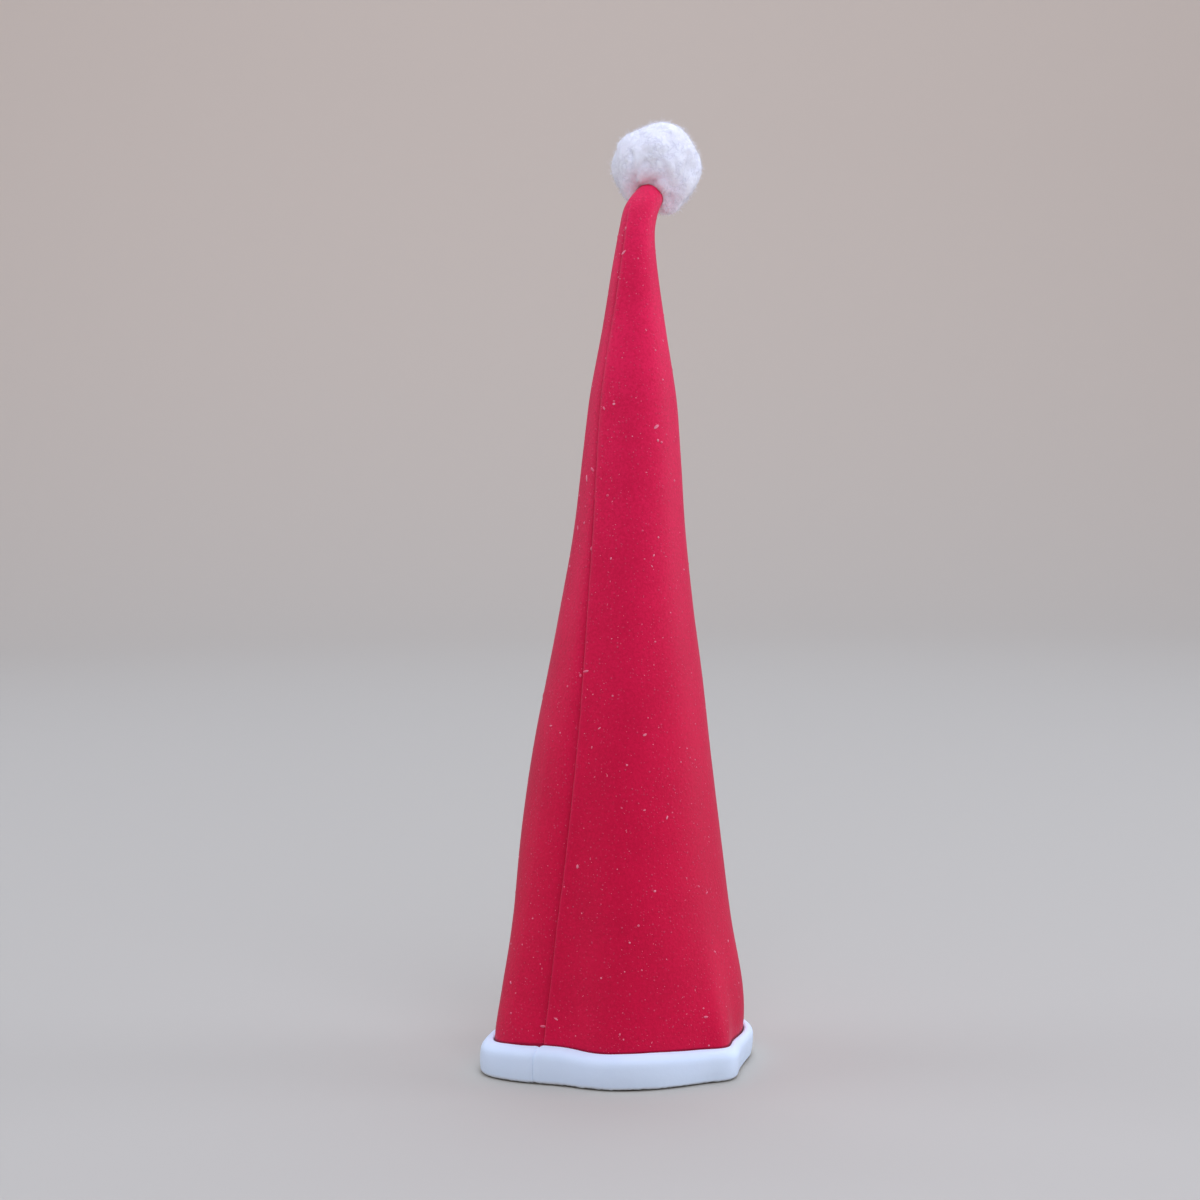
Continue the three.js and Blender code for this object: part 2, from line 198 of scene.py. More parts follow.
# Soft locks of the cotton, which run away from the tip
COTTON_LOCKS = table(
    "turn rise reach half_width half_length",
    (100, 72, 7.2, 3.8, 4.6),
    (-60, 62, 6.5, 3.7, 4.5),
    (0, 40, 6.7, 3.3, 4.2),
    (62, 34, 6.85, 3.3, 4.2),
    (-68, 24, 6.8, 3.1, 4.0),
    (32, 0, 6.7, 2.7, 3.7),
    (-32, 0, 6.6, 2.8, 3.6),
    (88, 0, 7.0, 3.2, 4.0),
    (-94, 6, 7.0, 3.1, 3.8),
    (62, -36, 7.05, 2.9, 3.8),
    (-62, -36, 6.6, 2.9, 3.6),
    (34, -68, 7.4, 2.6, 3.3),
    (-58, -70, 6.7, 2.7, 3.3),
    (122, -38, 7.0, 3.3, 4.0),
    (-124, -34, 6.8, 3.3, 3.9),
    (130, 26, 6.95, 3.5, 4.3),
    (-128, 28, 6.8, 3.5, 4.2),
    (178, -6, 6.9, 3.5, 4.1),
    (182, 50, 6.8, 3.5, 4.2),
    (170, -60, 6.8, 3.3, 3.8),
)

# Soft folds pressed into the cotton round the tip, each from one direction to another
COTTON_FOLDS = table(
    "turn rise to_turn to_rise half_width depth",
    (-24, -34, -9, -30, 0.8, 0.5),
    (6, -30, 14, -40, 0.8, -0.4),
    (-12, -27, 3, -24, 0.8, 0.28),
    (-100, 46, -80, 36, 1.6, -0.38),
    (60, -68, 110, -72, 1.5, -0.42),
    (-34, -16, -19, 1, 0.51, 0.22),
    (-19, 1, 4, 4, 0.51, 0.1),
    (4, 4, 16, -19, 0.51, 0.2),
    (-40, 14, -36, -38, 0.64, 0.42),
    (48, 10, 41, -34, 0.64, 0.3),
    (14, -36, 42, -60, 0.51, 0.12),
    (-9, 15, 8, 13, 0.94, 0.12),
    (-62, 26, -52, 4, 0.59, 0.28),
    (20, 30, 36, 14, 0.77, 0.24),
    (120, 20, 150, -40, 0.68, 0.37),
    (-110, 30, -150, -30, 0.68, 0.37),
    (170, 60, 190, 0, 0.77, 0.37),
)
BALL_CENTRE = np.array((8.2, 7.2, 137.5))
COTTON_HEAD = 6.2
LOCK_HALF_THICKNESS = 2.9
COTTON_SETTLED = 0.05
LOCK_FUSING = 6.0  # per millimetre: a higher value leaves sharper furrows between locks

# Fineness of the cotton, its lumps and furrows, and the socket of the crown's tip
BALL_DIVISIONS = 7
SOCKET_CLEARANCE = 0.05
SOCKET_FOOT = 122.0
SOCKET_HEIGHTS = np.linspace(SOCKET_FOOT, CROWN_TOP, 60)
SOCKET_COLUMNS = 72
COTTON_LUMPS = table("share size seed", (0.55, 2.6, 22), (0.3, 1.1, 23), (0.15, 0.5, 24))
FOLD_WAVES = table("share size seed", (0.5, 1.6, 25))
TIP_FOLDS = {"round": 2.3, "along": 0.9, "half_width": 0.2, "seed": 21}
WOOL_BEGINS = (0.1, 0.5)
# How far the painted reflection of the red tip reaches into the wool
RED_REFLECTION_REACH = (-0.5, 4.5)
NO_CREASE = 180

# How the pores and the fibres differ from one to the next, with heights and noise in metres
PORE_RARITY = 7.0
PORE_STRETCH = {"more": 0.45, "low": 0.05, "high": 0.115}
PORE_FLATNESS = (0.35, 0.6)
PORE_LENGTH = {"least": 0.85, "more": 2.2, "rarity": 6.0}
PORE_DIVISIONS = 2
FIBRE_LEAN = (0.6, 1.5)
FIBRE_LENGTH = {"least": 0.3, "more": 0.7, "rarity": 4.0}
FIBRE_POINTS = 5
FIBRE_SIDES = 3
FIBRE_TAPER = 0.6
STRAY_NOISE = {"Scale": 1100.0, "Detail": 1.0}

# The camera stands where the photograph was taken from
CAMERA_PLACE = Vector((-0.001708, -0.305852, 0.08806))
CAMERA_PITCH = math.radians(-3.16)
CAMERA_ROLL = math.radians(-0.95)
CAMERA_LENS = 60.06
CAMERA_SENSOR = 36.0
CAMERA_CLIP = 0.01

# Soft lights round the hat, in metres and watts
LIGHTS = table(
    "name place aim size power mirrored",
    ("top_light", (0.15, 0.2, 0.9), (0.0, 0.0, 0.1), 0.9, 4.1, True),
    ("right_light", (0.75, 0.0, 0.2), (0.0, 0.0, 0.07), 0.36, 2.25, True),
    ("left_light", (-0.8, 0.08, 0.4), (0.0, 0.0, 0.09), 0.6, 2.35, True),
    ("front_light", (0.08, -0.34, 0.42), (0.0, 0.0, 0.1), 0.45, 1.42, False),
    ("backdrop_light", (0.0, 0.6, 1.5), (0.0, 2.2, 0.6), 0.8, 15.6, True),
)
FLOOR_RADIUS = 0.9
SWEEP_RADIUS = 1.3
WALL_HEIGHT = 1.9
SWEEP_STEPS = 24
FLOOR_COLUMNS = 96
FLOOR_MIDDLE = 0.3


# Node trees


class Wire:
    """A socket of a node tree: arithmetic on wires adds Math nodes, and node() adds any other node."""

    def __init__(self, tree, socket=None):
        self.tree = tree
        self.socket = socket

    def node(self, kind, inputs=None, output=0, **settings):
        """Adds a node, makes its settings, fills its sockets with values or wires and gives one output."""
        made = self.tree.nodes.new(kind)
        for name, value in settings.items():
            setattr(made, name, value)
        for name, value in (inputs or {}).items():
            if isinstance(value, Wire):
                self.tree.links.new(value.socket, made.inputs[name])
            else:
                made.inputs[name].default_value = value
        return Wire(self.tree, made.outputs[output] if made.outputs else None)

    def other(self, output):
        """Another output of the node that this wire leaves."""
        return Wire(self.tree, self.socket.node.outputs[output])

    def math(self, operation, first, second=0.0):
        return self.node("ShaderNodeMath", {0: first, 1: second}, operation=operation)

    def __add__(self, other):
        return self.math("ADD", self, other)

    __radd__ = __add__

    def __sub__(self, other):
        return self.math("SUBTRACT", self, other)

    def __rsub__(self, other):
        return self.math("SUBTRACT", other, self)

    def __mul__(self, other):
        return self.math("MULTIPLY", self, other)

    __rmul__ = __mul__

    def __pow__(self, other):
        return self.math("POWER", self, other)

    def between(self, low, high):
        """0 below low, 1 above high, and a smooth rise in between."""
        inputs = {0: self, 1: low, 2: high, 3: 0.0, 4: 1.0}
        return self.node("ShaderNodeMapRange", inputs, interpolation_type="SMOOTHSTEP", clamp=True)

    def blend(self, first, second):
        """A colour that goes from the first to the second as this wire goes from 0 to 1."""
        first, second = (end if isinstance(end, Wire) else opaque(end) for end in (first, second))
        inputs = {0: self, 6: first, 7: second}
        return self.node("ShaderNodeMix", inputs, 2, data_type="RGBA", blend_type="MIX")

    def height(self):
        """The height of the place that this wire carries."""
        return self.node("ShaderNodeSeparateXYZ", {0: self}, "Z")


def new_finish(name):
    """A material with an empty tree, and a wire with the place of a point on its piece, in metres."""
    material = bpy.data.materials.new(name)
    material.use_nodes = True
    material.node_tree.nodes.clear()
    return material, Wire(material.node_tree).node("ShaderNodeTexCoord", output="Object")


def close_finish(material, sockets):
    """Ends a material's tree in a Principled shader with these sockets, and gives the material."""
    start = Wire(material.node_tree)
    shader = start.node("ShaderNodeBsdfPrincipled", sockets)
    start.node("ShaderNodeOutputMaterial", {"Surface": shader})
    return material


def attribute(start, name):
    """A value that the piece keeps for each of its points."""
    return start.node("ShaderNodeAttribute", output="Fac", attribute_name=name)


def cloudy(place, size, detail=2.0, roughness=0.5):
    """Smooth noise from 0 to 1 with patches of about this size in metres."""
    inputs = {"Vector": place, "Scale": 1 / size, "Detail": detail, "Roughness": roughness}
    return place.node("ShaderNodeTexNoise", inputs, noise_dimensions="3D")


def flecks(place, size, share, radius):
    """Round flecks from 0 to 1: one in a share of the cells of this size, each of this radius in cells."""
    distance = place.node("ShaderNodeTexVoronoi", {"Vector": place, "Scale": 1 / size}, feature="F1")
    chance = place.node("ShaderNodeSeparateColor", {0: distance.other("Color")})
    return (1 - distance.between(radius * 0.5, radius)) * chance.between(1 - share, 1 - share * 0.8)


def winding_lines(place, size, half_width):
    """Thin winding lines from 0 to 1, along the middle value of noise with patches of this size."""
    off_line = place.math("ABSOLUTE", cloudy(place, size, 2.0) - 0.5)
    return 1 - off_line.between(0.0, half_width)


def bumped(place, height, depth, strength=1.0):
    """A normal that follows a height from 0 to 1, this many metres deep."""
    return place.node("ShaderNodeBump", {"Strength": strength, "Distance": depth, "Height": height})


def opaque(colour):
    return (*colour, 1.0)


# Finishes


def red_foam_finish(settings):
    """Matte red craft foam: mottled skin, fine pale pores and a soft bloom where it turns away, with
    painted light that lightens it towards the tip, a painted highlight on the seam's lip, and painted shade
    beside the seam and above the strip.
    """
    material, place = new_finish("red_foam")
    height = place.height()
    patches = cloudy(place, 0.009, 3.0)
    grain = cloudy(place, settings.grain, 3.0, 0.6)
    fine = flecks(place, 0.0009, 0.3, 0.2)
    finer = flecks(place, 0.00045, 0.45, 0.3)
    mottling = (patches * 0.4 + grain * 0.6).between(0.36, 0.64)
    # Painted light: the skin grows lighter towards the tip, where more light falls, and lighter still at
    # the very tip
    skin = height.between(0.03, 0.115).blend(settings.red, settings.lit_red)
    skin = height.between(0.118, 0.129).blend(skin, settings.tip_lit_red)
    skin = (0.5 - mottling * 0.5).blend(skin, settings.deep_red)
    skin = (grain.between(0.5, 0.8) * 0.45).blend(skin, settings.worn_red)
    skin = (finer * 0.34 + fine * 0.5).blend(skin, settings.pore_pink)
    # Painted highlight along the seam's proud lip
    skin = (attribute(place, "seam_lip_highlight") * 0.3).blend(skin, settings.lit_red)
    # Painted shade beside the seam's crevice
    skin = (attribute(place, "seam_shade") * 0.22).blend(skin, settings.gap_shade_red)
    # Painted shade in the gap just above the strip's upper edge
    foot = 1 - attribute(place, "above_strip").between(0.0, 0.0003)
    skin = (foot * 0.85).blend(skin, settings.gap_shade_red)
    sockets = {
        "Base Color": skin,
        "Roughness": 0.5 + patches * 0.06 + grain * 0.1,
        "Normal": bumped(place, grain * 0.7 + fine * 0.5 + finer * 0.35, 0.00012, 0.9),
        "Specular IOR Level": 0.24,
        "Sheen Weight": 0.12,
        "Sheen Roughness": 0.45,
        "Sheen Tint": (1.0, 0.8, 0.84, 1.0),
    }
    return close_finish(material, sockets)


def pore_finish(settings):
    """Pale foam of the opened pores that dot the crown."""
    material, place = new_finish("opened_pore")
    cells = cloudy(place, 0.0015, 1.0)
    sockets = {
        "Base Color": cells.between(0.3, 0.7).blend(settings.pore_pink, settings.pore_pale),
        "Roughness": 0.45 + cells * 0.2,
        "Specular IOR Level": 0.5,
    }
    return close_finish(material, sockets)


def white_foam_finish(settings):
    """Matte white craft foam: a faint grain, and a warmer, darker tint along its cut lower edge."""
    material, place = new_finish("white_foam")
    patches = cloudy(place, 0.006, 3.0)
    grain = cloudy(place, settings.grain, 3.0, 0.6)
    height = place.height()
    skin = patches.between(0.3, 0.7).blend(settings.shaded_white, settings.white)
    # A warmer, darker tint towards the lower edge
    lower_edge_tint = (1 - (height + patches * 0.0006).between(0.0004, 0.0011)) * (0.35 + grain * 0.4)
    skin = lower_edge_tint.blend(skin, settings.lower_edge_tint)
    sockets = {
        "Base Color": skin,
        "Roughness": 0.55 + grain * 0.16,
        "Normal": bumped(place, grain * 0.6 + patches * 0.4, 0.00005, 0.5),
        "Specular IOR Level": 0.4,
        "Sheen Weight": 0.08,
        "Sheen Roughness": 0.5,
    }
    return close_finish(material, sockets)


def cotton_finish(settings):
    """Cotton wool: matted fibres with soft hollows between them, and light that passes a little way in;
    painted shade greys the hollows and the furrows between the fibres, and a painted reflection of the red
    tip tints the wool near it pink.
    """
    material, place = new_finish("cotton")
    matting = cloudy(place, 0.0007, 4.0, 0.65)
    hollows = cloudy(place, 0.0024, 2.0)
    # Painted shade: the wool is greyer in the sunken hollows between its lumps
    skin = hollows.between(0.3, 0.62).blend(settings.hollow_shade_white, settings.white)
    # Painted reflection: pink light thrown back from the red tip onto the wool near it
    skin = attribute(place, "near_tip").blend(skin, settings.red_reflection_pink)
    # Painted shade in the thin sunken furrows between the fibres
    furrows = winding_lines(place, 0.0011, 0.1) * hollows.between(0.36, 0.56)
    skin = (furrows * 0.36).blend(skin, settings.furrow_shade_grey)
    sockets = {
        "Base Color": skin,
        "Roughness": 0.88 + matting * 0.1,
        "Normal": bumped(place, matting * 0.7 + hollows * 0.3 - furrows * 0.4, 0.0002, 0.8),
        "Specular IOR Level": 0.15,
        "Subsurface Weight": 0.7,
        "Subsurface Radius": (1.0, 0.95, 0.95),
        "Subsurface Scale": 0.0015,
        "Sheen Weight": 0.25,
        "Sheen Roughness": 0.6,
    }
    return close_finish(material, sockets)


def fibre_finish(settings):
    """Single cotton fibres, a touch brighter than the matted wool under them."""
    material, place = new_finish("cotton_fibre")
    tufts = cloudy(place, 0.002, 2.0)
    sockets = {
        "Base Color": tufts.between(0.3, 0.7).blend(settings.white, settings.fibre_white),
        "Roughness": 0.8 + tufts * 0.15,
        "Specular IOR Level": 0.15,
    }
    return close_finish(material, sockets)


def stage_finish(settings):
    """Plain pale paper of the floor, a little lighter and warmer towards the backdrop."""
    material, place = new_finish("stage_paper")
    away = place.node("ShaderNodeVectorMath", {0: place}, "Value", operation="LENGTH")
    paper = away.between(0.4, 2.2).blend(settings.floor, settings.backdrop)
    sockets = {"Base Color": paper, "Roughness": 0.9, "Specular IOR Level": 0.1}
    return close_finish(material, sockets)


# Shapes


def smoothstep(value, low, high):
    share = np.clip((value - low) / (high - low), 0.0, 1.0)
    return share * share * (3 - 2 * share)


def within(value, begin, end):
    """1 inside a range, with a soft begin and a soft end."""
    return smoothstep(value, *begin) * (1 - smoothstep(value, *end))


def unit(vectors):
    return vectors / np.linalg.norm(vectors, axis=-1, keepdims=True)


def wobble(points, size, seed):
    """Smooth noise from -1 to 1 at points in millimetres, with waves of about this size."""
    shift = Vector((17.3 * seed, 5.1 * seed, 9.7 * seed))
    flat = points.reshape(-1, 3) / size
    values = [noise.noise(Vector(point) + shift) for point in flat]
    return np.array(values).reshape(points.shape[:-1])


def wobbles(points, layers):
    """The sum of layers of noise at points in millimetres."""
    return sum(layer["share"] * wobble(points, layer["size"], layer["seed"]) for layer in layers)


def on_curve(rows, place, column, at):
    """One column of a table at places along it, on a cubic curve through its rows."""
    places = np.array([row[place] for row in rows], float)
    values = np.array([row[column] for row in rows], float)
    last = len(places) - 1
    before = np.maximum(np.arange(last + 1) - 1, 0)
    after = np.minimum(np.arange(last + 1) + 1, last)
    slopes = (values[after] - values[before]) / (places[after] - places[before])
    low = np.clip(np.searchsorted(places, at, side="right") - 1, 0, last - 1)
    span = places[low + 1] - places[low]
    share = (at - places[low]) / span
    leave = slopes[low] * span
    arrive = slopes[low + 1] * span
    rise = values[low + 1] - values[low]
    bend = 3 * rise - 2 * leave - arrive
    return values[low] + share * (leave + share * (bend + share * (leave + arrive - 2 * rise)))


def section(column, heights):
    """One column of the crown's table at these heights."""
    return on_curve(CROWN_SECTIONS, "height", column, heights)


def strip_top(turns):
    """Heights of the strip's upper edge at these turns."""
    return on_curve(STRIP_TOPS, "turn", "height", (turns + 180) % 360 - 180)


def centre_line(heights):
    heights = np.asarray(heights, float)
    return np.stack((section("across", heights), section("back", heights), heights), axis=-1)


def centre_direction(heights):
    """The direction of the centre line, kept upright near the foot."""
    heights = np.asarray(heights, float)
    low = np.maximum(heights - DIRECTION_STEP, 0)
    high = np.minimum(heights + DIRECTION_STEP, CROWN_TOP)
    along = unit(centre_line(high) - centre_line(low))
    lean = smoothstep(heights, *LEAN_BEGINS)[..., None]
    return unit(np.array((0.0, 0.0, 1.0)) * (1 - lean) + along * lean)


def bend_push(heights, turns):
    """How far the bends push the wall out."""
    push = np.zeros(np.broadcast(heights, turns).shape)
    for bend in BENDS:
        aside = (turns - bend["turn"] + 540) % 360 - 180
        far = (aside / bend["turn_spread"]) ** 2 + ((heights - bend["height"]) / bend["height_spread"]) ** 2
        push += bend["push"] * np.exp(-far)
    return push


def wall_points(heights, turns, grown, level=False):
    """Points of the crown's wall, grown outwards from it. Level points keep their height."""
    heights, turns, grown = np.broadcast_arrays(heights, turns, grown)
    half_width = section("half_width", heights)
    half_depth = section("half_depth", heights)
    angle = np.radians(turns)
    out_x = np.sin(angle) / half_width
    out_y = -np.cos(angle) / half_depth
    length = np.hypot(out_x, out_y)
    push = (bend_push(heights, turns) + grown) / length
    x = half_width * np.sin(angle) + out_x * push
    y = -half_depth * np.cos(angle) + out_y * push
    if level:
        offset = np.stack((x, y, np.zeros_like(x)), axis=-1)
    else:
        lean_x, lean_y, lean_z = np.moveaxis(centre_direction(heights), -1, 0)
        drop = -(lean_x * x + lean_y * y)
        tilt = drop / (1 + lean_z)
        offset = np.stack((x + lean_x * tilt, y + lean_y * tilt, drop), axis=-1)
    return centre_line(heights) + offset


def ring_heights(top, step, slender_step):
    """Heights of rings from the foot to a top, closer together in the slender tip."""
    rows = [row["height"] for row in CROWN_SECTIONS]
    heights = [0.0]
    for low, high in zip(rows, rows[1:]):
        high = min(high, top)
        if high <= low:
            break
        pieces = math.ceil((high - low) / (step if high < SLENDER_ABOVE else slender_step))
        heights.extend(low + (high - low) * (i + 1) / pieces for i in range(pieces))
    return np.array(heights)


def lofted(start, rings, end=None):
    """Points and faces of a surface from a point through rings of equal length, and to an end if given."""
    count, columns = rings.shape[:2]
    corners = 1 + np.arange(count * columns).reshape(count, columns)
    beside = np.roll(corners, -1, axis=1)
    quads = np.stack((corners[:-1], beside[:-1], beside[1:], corners[1:]), axis=-1)
    faces = quads.reshape(-1, 4).tolist()
    faces += [[0, b, a] for a, b in zip(corners[0].tolist(), beside[0].tolist())]
    points = np.concatenate((start[None], rings.reshape(-1, 3)))
    if end is not None:
        faces += [[len(points), a, b] for a, b in zip(corners[-1].tolist(), beside[-1].tolist())]
        points = np.concatenate((points, end[None]))
    return points, faces


def new_object(name, data):
    """An object of this data, linked to the scene."""
    made = bpy.data.objects.new(name, data)
    bpy.context.scene.collection.objects.link(made)
    return made


def new_mesh(name, points, faces, finish):
    """A smooth mesh of points in metres."""
    mesh = bpy.data.meshes.new(name)
    mesh.from_pydata(points.tolist(), [], faces)
    mesh.materials.append(finish)
    mesh.shade_smooth()
    return mesh


def new_piece(name, points, faces, finish, crease):
    """A smooth mesh object of points in the hat's millimetres, sharp along edges over the crease angle."""
    mesh = new_mesh(name, (points + HAT_PLACE) * MM, faces, finish)
    mesh.set_sharp_from_angle(angle=math.radians(crease))
    shell = bmesh.new()
    shell.from_mesh(mesh)
    volume = shell.calc_volume(signed=True)
    shell.free()
    if volume <= 0:
        raise RuntimeError(f"{name} is inside out")
    return new_object(name, mesh)


def settle(piece):
    """Gives a piece the mesh that its modifiers make, and takes the modifiers off."""
    evaluated = piece.evaluated_get(bpy.context.evaluated_depsgraph_get())
    mesh = bpy.data.meshes.new_from_object(evaluated)
    piece.modifiers.clear()
    bare = piece.data
    piece.data = mesh
    bpy.data.meshes.remove(bare)
    mesh.name = piece.name


def add_attribute(piece, name, values):
    """Keeps a value for each point of a piece, for the nodes that grow things on it."""
    attribute = piece.data.attributes.new(name, "FLOAT", "POINT")
    attribute.data.foreach_set("value", np.asarray(values, np.float32))


def seat(piece, node=None):
    """Ties a piece to the frame, and hides the CAD node that it stands for."""
    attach(piece, "root")
    if node:
        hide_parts(node)


# Things that grow on a piece


def new_growth(name, sizes):
    """A geometry tree with a mesh and these named inputs, and a function that gives a wire for each."""
    tree = bpy.data.node_groups.new(name, "GeometryNodeTree")
    tree.interface.new_socket("Geometry", in_out="OUTPUT", socket_type="NodeSocketGeometry")
    tree.interface.new_socket("Geometry", in_out="INPUT", socket_type="NodeSocketGeometry")
    for size, value in sizes.items():
        kind = "NodeSocketInt" if isinstance(value, int) else "NodeSocketFloat"
        tree.interface.new_socket(size, in_out="INPUT", socket_type=kind)
    start = Wire(tree)
    return start, lambda size: start.node("NodeGroupInput", output=size)


def close_growth(start, geometry, finish):
    """Ends a geometry tree with its finish."""
    real = start.node("GeometryNodeRealizeInstances", {0: geometry})
    smooth = start.node("GeometryNodeSetShadeSmooth", {0: real})
    done = start.node("GeometryNodeSetMaterial", {"Geometry": smooth, "Material": finish})
    start.node("NodeGroupOutput", {0: done})


def chance(start, low, high, seed):
    """A random value for each point, from low to high."""
    return start.node("FunctionNodeRandomValue", {2: low, 3: high, "Seed": seed}, 1, data_type="FLOAT")


def varied(start, row, seed):
    """A random share for each point, most often near the row's least."""
    return row["least"] + row["more"] * chance(start, 0.0, 1.0, seed) ** row["rarity"]


def turned(start, rotation, axis, angle):
    """A rotation followed by a turn about one of its own axes."""
    turn = start.node("FunctionNodeAxisAngleToRotation", {"Axis": axis, "Angle": angle})
    inputs = {"Rotation": rotation, "Rotate By": turn}
    return start.node("FunctionNodeRotateRotation", inputs, rotation_space="LOCAL")


def scattered(start, given, share):
    """Points on the mesh, thinned by one of its attributes."""
    cover = start.node("GeometryNodeInputNamedAttribute", {"Name": share}, data_type="FLOAT")
    inputs = {"Mesh": given("Geometry"), "Density": given("Density") * cover, "Seed": given("Seed")}
    return start.node("GeometryNodeDistributePointsOnFaces", inputs, distribute_method="RANDOM")


def grown(name, carrier, tree, sizes):
    """A plain mesh piece of what a geometry tree grows on a carrier."""
    piece = new_object(name, carrier.data.copy())
    modifier = piece.modifiers.new("Growth", "NODES")
    modifier.node_group = tree
    for item in tree.interface.items_tree:
        if item.in_out == "INPUT" and item.name in sizes:
            modifier[item.identifier] = sizes[item.name]
    settle(piece)
    if not piece.data.polygons:
        raise RuntimeError(f"nothing grew for {name}")
    return piece


# Settings


def shade(name, description, default):
    """A colour that a user may change."""
    return FloatVectorProperty(
        name=name, description=description, default=default, subtype="COLOR", min=0, max=1
    )


def measure(name, description, default, least=0.0, **limits):
    """A length that a user may change."""
    return FloatProperty(
        name=name, description=description, default=default, unit="LENGTH", min=least, **limits
    )


class HatCrownSettings(PropertyGroup):
    """Colours and sizes of the red crown."""

    red: shade("Red", "Colour of the foam's skin", (0.74, 0.0012, 0.052))
    deep_red: shade("Deep red", "Colour of the foam's darker patches", (0.58, 0.0008, 0.04))
    # Painted light: the lighter red of the skin towards the tip, also used for the painted highlight on the
    # seam's lip
    lit_red: shade(
        "Stretched red", "Colour of the foam where it is stretched towards the tip", (0.9, 0.012, 0.095)
    )
    # Painted highlight: the still lighter red at the very tip
    tip_lit_red: shade(
        "Tip red", "Colour of the foam where it is stretched most, at the tip", (0.95, 0.017, 0.11)
    )
    worn_red: shade("Worn red", "Colour of the foam's rubbed grain", (0.77, 0.007, 0.075))
    pore_pink: shade("Pore pink", "Colour of the fine pores", (0.82, 0.09, 0.18))
    pore_pale: shade("Pore pale", "Colour of the palest opened pores", (0.9, 0.27, 0.36))
    # Painted shade: the dark red laid beside the seam's crevice and in the gap above the strip
    gap_shade_red: shade(
        "Glue red", "Colour of the foam beside the glue of the seam and of the strip", (0.3, 0.001, 0.03)
    )
    grain: measure("Grain", "Size of the foam's grain", 0.0004, least=0.0001)
    waviness: measure("Waviness", "How far the sheet's slow waves stand out", 0.00007)
    pore_density: FloatProperty(
        name="Pores", description="Opened pores on a square metre of foam", min=0, default=165000.0
    )
    pore_least: measure("Least pore", "Radius of the smallest opened pores", 0.00005)
    pore_most: measure("Largest pore", "Radius of the largest opened pores", 0.00019)
    seed: IntProperty(name="Seed", description="Start of the pores' scatter", default=4)


class HatStripSettings(PropertyGroup):
    """Colours and sizes of the white strip."""

    white: shade("White", "Colour of the foam's skin", (0.77, 0.885, 1.0))
    shaded_white: shade("Shaded white", "Colour of the foam's duller patches", (0.74, 0.855, 0.98))
    # A warmer, darker tint along the strip's cut lower edge
    lower_edge_tint: shade("Dust", "Colour that the lower edge has picked up", (0.62, 0.56, 0.5))
    grain: measure("Grain", "Size of the foam's grain", 0.00045, least=0.0001)
    upper_rounding: measure(
        "Upper rounding", "Radius of the outer upper edge", 0.0017, least=0.0001, max=0.0025
    )
    lower_rounding: measure(
        "Lower rounding", "Radius of the outer lower edge", 0.00045, least=0.0001, max=0.001
    )
    bulge: measure("Bulge", "How far the outer face swells at its middle", 0.00008)
    raggedness: measure("Raggedness", "How far the cut lower edge wavers", 0.00016)


class HatCottonSettings(PropertyGroup):
    """Colours and sizes of the cotton ball."""

    white: shade("White", "Colour of the matted wool", (0.925, 0.925, 0.985))
    # Painted shade in the wool's sunken hollows
    hollow_shade_white: shade("Hollow white", "Colour of the hollows in the wool", (0.9, 0.89, 0.945))
    fibre_white: shade("Fibre white", "Colour of the brightest fibres", (0.93, 0.93, 0.95))
    # Painted reflection of the red tip on the wool next to it
    red_reflection_pink: shade("Blush", "Colour of the wool next to the red tip", (1.0, 0.79, 0.86))
    # Painted shade in the furrows between the fibres
    furrow_shade_grey: shade(
        "Furrow grey", "Colour of the thin furrows between the fibres", (0.66, 0.64, 0.71)
    )
    lumps: measure("Lumps", "Height of the soft lumps", 0.0002)
    folds: measure("Folds", "Depth of the folds that run away from the tip", 0.00018)
    fibre_density: FloatProperty(
        name="Fibres", description="Fibres on a square metre of wool", min=0, default=11000000.0
    )
    fibre_length: measure("Fibre length", "Length of the longest loose fibres", 0.0012, least=0.0001)
    fibre_radius: measure("Fibre radius", "Radius of a fibre at its root", 0.00002, least=0.000001)
    curl: measure("Curl", "How far a fibre's end strays from a straight line", 0.0008)
    seed: IntProperty(name="Seed", description="Start of the fibres' scatter", default=7)


class HatStageSettings(PropertyGroup):
    """Colours and light of the stage."""

    floor: shade("Floor", "Colour of the floor", (0.51, 0.482, 0.413))
    backdrop: shade("Backdrop", "Colour of the backdrop", (0.645, 0.548, 0.446))
    light: shade("Light", "Colour of the studio light", (0.74, 0.8, 1.0))
    brightness: FloatProperty(
        name="Brightness", description="Share of each light's power", min=0, default=1.0
    )
    surround: FloatProperty(
        name="Surround", description="Strength of the even light from all round", min=0, default=0.56
    )


# Pieces


def crown_columns(heights):
    """Turns and seam rises of the columns of rings, from the seam's left side round, and seam distances."""
    radius = ((section("half_width", heights) + section("half_depth", heights)) / 2)[:, None]
    along = np.array([point["along"] for point in SEAM_PROFILE])[None]
    rise = np.array([point["rise"] for point in SEAM_PROFILE])
    far = np.maximum(np.abs(along) - SEAM_CLOSE, 0) * np.minimum(radius / SEAM_FULL_RADIUS, 1)
    along = np.sign(along) * (np.minimum(np.abs(along), SEAM_CLOSE) + far)
    line = np.stack((heights, heights * 0, heights * 0), axis=-1)
    cut = wobbles(line, SEAM_CUT)
    seam = section("seam_turn", heights)[:, None] + np.degrees((along + cut[:, None]) / radius)
    rest = 360 - (seam[:, -1] - seam[:, 0])
    share = np.arange(1, PLAIN_COLUMNS + 1) / (PLAIN_COLUMNS + 1)
    plain = seam[:, -1:] + rest[:, None] * share
    rises = np.concatenate((rise, np.zeros(PLAIN_COLUMNS)))
    depth = 1 + wobbles(line, SEAM_DEPTH)
    along = np.concatenate((along, np.full_like(plain, along.max())), axis=1)
    return np.concatenate((seam, plain), axis=1), rises[None] * depth[:, None], along


def seam_band(along, band):
    """1 in the middle of a band along the seam, falling softly to 0."""
    return np.exp(-(((along - band["along"]) / band["reach"]) ** 2))


